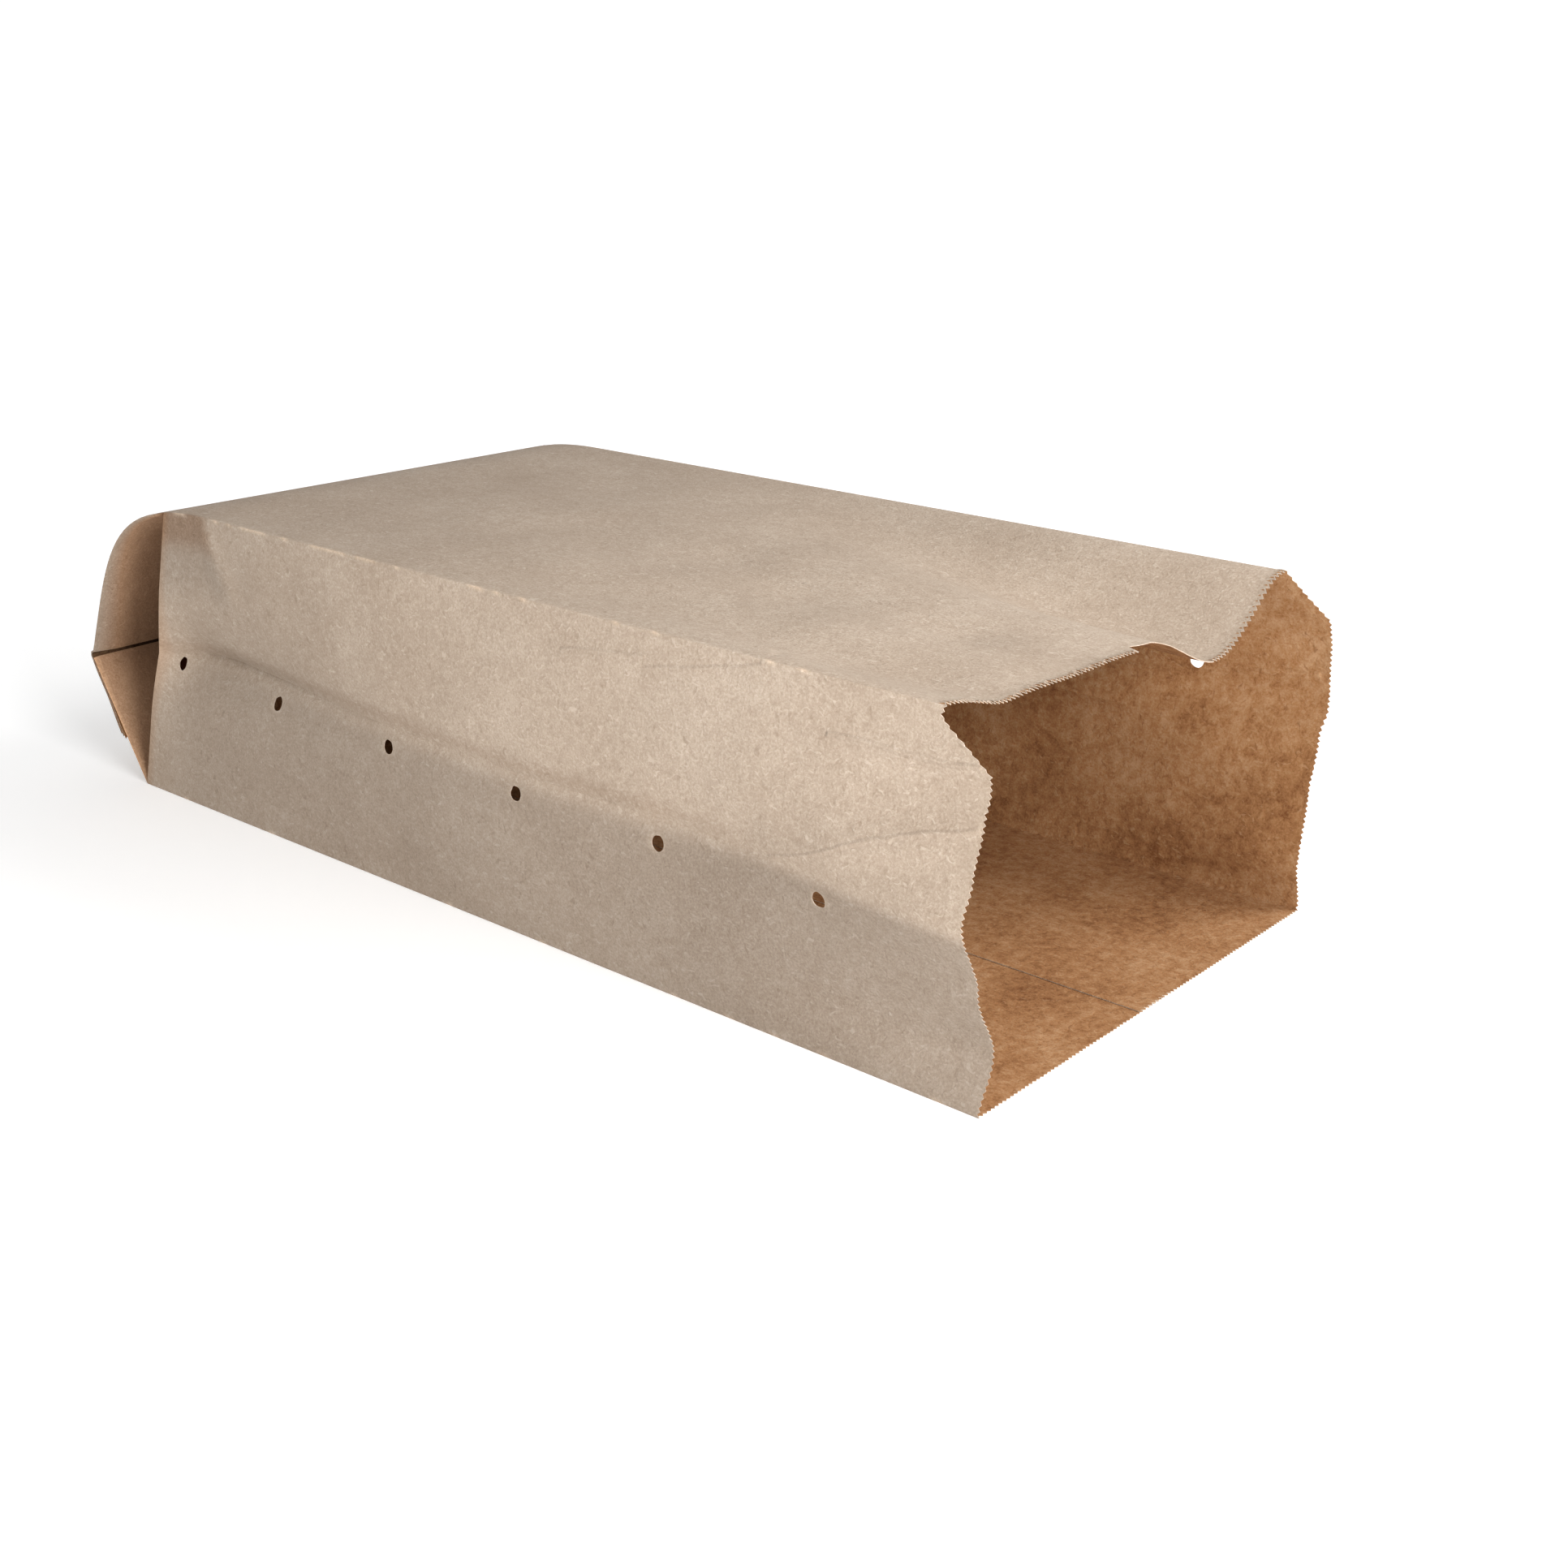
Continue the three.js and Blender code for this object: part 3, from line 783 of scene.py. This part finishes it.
def paperGrain():
    # shared by both sides of the sheet: blotches, fibres, flecks and the relief that goes with them
    tree = bpy.data.node_groups.new("paperGrain", "ShaderNodeTree")
    face = tree.interface
    for name, value in (("Blotch", 0.5), ("Fibre", 0.5), ("Fleck", 0.5)):
        socket = face.new_socket(name=name, in_out="INPUT", socket_type="NodeSocketFloat")
        socket.default_value = value
    for name in ("Shade", "Light Fleck", "Dark Fleck", "Relief"):
        face.new_socket(name=name, in_out="OUTPUT", socket_type="NodeSocketFloat")
    start = nodeOf(tree, "NodeGroupInput", (-1200, 0))
    end = nodeOf(tree, "NodeGroupOutput", (900, 0))
    where = nodeOf(tree, "ShaderNodeTexCoord", (-1800, 200)).outputs["Object"]
    bend = nodeOf(tree, "ShaderNodeTexNoise", (-1600, -100), Scale=260, Detail=1)
    tree.links.new(where, bend.inputs["Vector"])
    curl = vectorNode(tree, "SUBTRACT", bend.outputs["Color"], (0.5, 0.5, 0.5), (-1400, -100))
    curl = vectorNode(tree, "MULTIPLY", curl, (0.005, 0.005, 0.005), (-1250, -100))
    curled = vectorNode(tree, "ADD", where, curl, (-1100, 0))

    def grain(source, scale, stretch, detail, place, rough=0.55):
        mapping = nodeOf(tree, "ShaderNodeMapping", (place[0] - 200, place[1]), Scale=stretch)
        tree.links.new(source, mapping.inputs["Vector"])
        node = nodeOf(
            tree, "ShaderNodeTexNoise", place, Scale=scale, Detail=detail, Roughness=rough)
        tree.links.new(mapping.outputs["Vector"], node.inputs["Vector"])
        return node.outputs["Fac"]

    wide = grain(where, 30, (1, 1, 1), 3, (-800, 400))
    cloudy = grain(where, 330, (1, 1, 1), 3, (-800, 200), 0.6)
    fine = grain(where, 1400, (1, 1, 1), 3, (-800, 0), 0.75)
    strand = grain(curled, 1000, (0.3, 0.8, 1), 2, (-800, -200))
    crossed = grain(curled, 1000, (1, 0.5, 0.3), 2, (-800, -400))
    centred = mathNode(tree, "SUBTRACT", wide, 0.5, (-500, 400))
    blotch = mathNode(tree, "SUBTRACT", cloudy, 0.5, (-500, 200))
    both = mathNode(tree, "ADD", centred, blotch, (-350, 300))
    both = mathNode(tree, "MULTIPLY", both, start.outputs["Blotch"], (-200, 300))
    grainy = mathNode(tree, "SUBTRACT", fine, 0.5, (-500, 0))
    grainy = mathNode(tree, "MULTIPLY", grainy, start.outputs["Fibre"], (-200, 0))
    shade = mathNode(tree, "ADD", both, grainy, (0, 200))
    tree.links.new(shade, end.inputs["Shade"])
    for name, source, place in (("Light Fleck", strand, -200), ("Dark Fleck", crossed, -400)):
        peak = mathNode(tree, "SUBTRACT", source, 0.62, (-350, place))
        peak = mathNode(tree, "MULTIPLY", peak, 12, (-200, place), True)
        peak = mathNode(tree, "MULTIPLY", peak, start.outputs["Fleck"], (0, place))
        tree.links.new(peak, end.inputs[name])
    relief = mathNode(tree, "ADD", fine, strand, (200, -500))
    relief = mathNode(tree, "ADD", relief, cloudy, (350, -500))
    tree.links.new(relief, end.inputs["Relief"])
    return tree


grainGroup = paperGrain()
creaseGroup = creaseLines()
finish = {
    "outside": {
        "toneAndPaintedShading": (0.385, 0.303, 0.232), "deep": (0.245, 0.178, 0.125), "light": (0.56, 0.475, 0.39),
        "blotch": 0.4, "fibre": 1.1, "fleck": 0.45, "bump": 0.6,
    },
    "inside": {
        "toneAndPaintedShading": (0.30, 0.145, 0.058), "deep": (0.15, 0.055, 0.016), "light": (0.42, 0.25, 0.13),
        "blotch": 1.2, "fibre": 1.2, "fleck": 0.5, "bump": 0.5,
    },
    "roughness": 0.85, "shine": 0.25, "grainHeight": 0.00025, "creaseHeight": 0.00045,
}
# painted shade, painted light, a warm painted shade in the tucked end, then worn folds with a
# painted highlight, multiplied into the paper's colour
washes = [  # mesh layer, gain, how sharply it falls off, what it multiplies the paper's colour by
    ("toneAndPaintedShading", 1, 1, (0.3, 0.3, 0.3)),
    ("toneAndPaintedShading", -1, 1, (1.6, 1.6, 1.6)),
    ("warmPaintedShade", 1, 1, (0.86, 0.48, 0.2)),
    ("wearAndHighlight", 0.95, 2, (1.6, 1.56, 1.5)),
]


def kraft(name, look):
    material = bpy.data.materials.new(name)
    material.use_nodes = True
    tree = material.node_tree
    shader = tree.nodes["Principled BSDF"]
    grain = nodeOf(tree, "ShaderNodeGroup", (-900, 0))
    grain.node_tree = grainGroup
    for socket in ("Blotch", "Fibre", "Fleck"):
        grain.inputs[socket].default_value = look[socket.lower()]
    level = mathNode(tree, "ADD", grain.outputs["Shade"], 0.5, (-700, 100), True)
    ramp = nodeOf(tree, "ShaderNodeValToRGB", (-550, 200))
    ramp.color_ramp.elements[0].color = (*look["deep"], 1)
    ramp.color_ramp.elements[1].color = (*look["light"], 1)
    ramp.color_ramp.elements.new(0.5).color = (*look["toneAndPaintedShading"], 1)
    tree.links.new(level, ramp.inputs["Fac"])
    colour = ramp.outputs["Color"]
    flecks = (("Light Fleck", look["light"], 0), ("Dark Fleck", look["deep"], -200))
    for socket, tint, place in flecks:
        mix = nodeOf(tree, "ShaderNodeMix", (-300, place), data_type="RGBA")
        tree.links.new(grain.outputs[socket], mix.inputs["Factor"])
        tree.links.new(colour, mix.inputs[6])
        mix.inputs[7].default_value = (*tint, 1)
        colour = mix.outputs[2]
    # painted shade and light from the mesh layers, multiplied into the paper's colour
    for row, (source, gain, power, tint) in enumerate(washes):
        layer = nodeOf(tree, "ShaderNodeAttribute", (-500, 500 + 200 * row), attribute_name=source)
        share = layer.outputs["Fac"]
        if power > 1:
            share = mathNode(tree, "POWER", share, power, (-400, 500 + 200 * row))
        share = mathNode(tree, "MULTIPLY", share, gain, (-300, 500 + 200 * row), True)
        mix = nodeOf(
            tree, "ShaderNodeMix", (-100, 500 + 200 * row), data_type="RGBA", blend_type="MULTIPLY")
        tree.links.new(share, mix.inputs["Factor"])
        tree.links.new(colour, mix.inputs[6])
        mix.inputs[7].default_value = (*tint, 1)
        colour = mix.outputs[2]
    tree.links.new(colour, shader.inputs["Base Color"])
    creases = nodeOf(tree, "ShaderNodeGroup", (-900, -500))
    creases.node_tree = creaseGroup
    rough = nodeOf(tree, "ShaderNodeBump", (-500, -400), Strength=look["bump"],
                   Distance=finish["grainHeight"])
    tree.links.new(grain.outputs["Relief"], rough.inputs["Height"])
    folded = nodeOf(tree, "ShaderNodeBump", (-300, -400), Strength=1,
                    Distance=finish["creaseHeight"])
    tree.links.new(creases.outputs["Relief"], folded.inputs["Height"])
    tree.links.new(rough.outputs["Normal"], folded.inputs["Normal"])
    tree.links.new(folded.outputs["Normal"], shader.inputs["Normal"])
    shader.inputs["Roughness"].default_value = finish["roughness"]
    shader.inputs["Specular IOR Level"].default_value = finish["shine"]
    return material


snackBag = paperBag()
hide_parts("paper_bag")
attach(snackBag, "root")
snackBag.data.shade_smooth()
snackBag.data.set_sharp_from_angle(angle=math.radians(32))
print("stage: bag made,", len(snackBag.data.polygons), "faces")
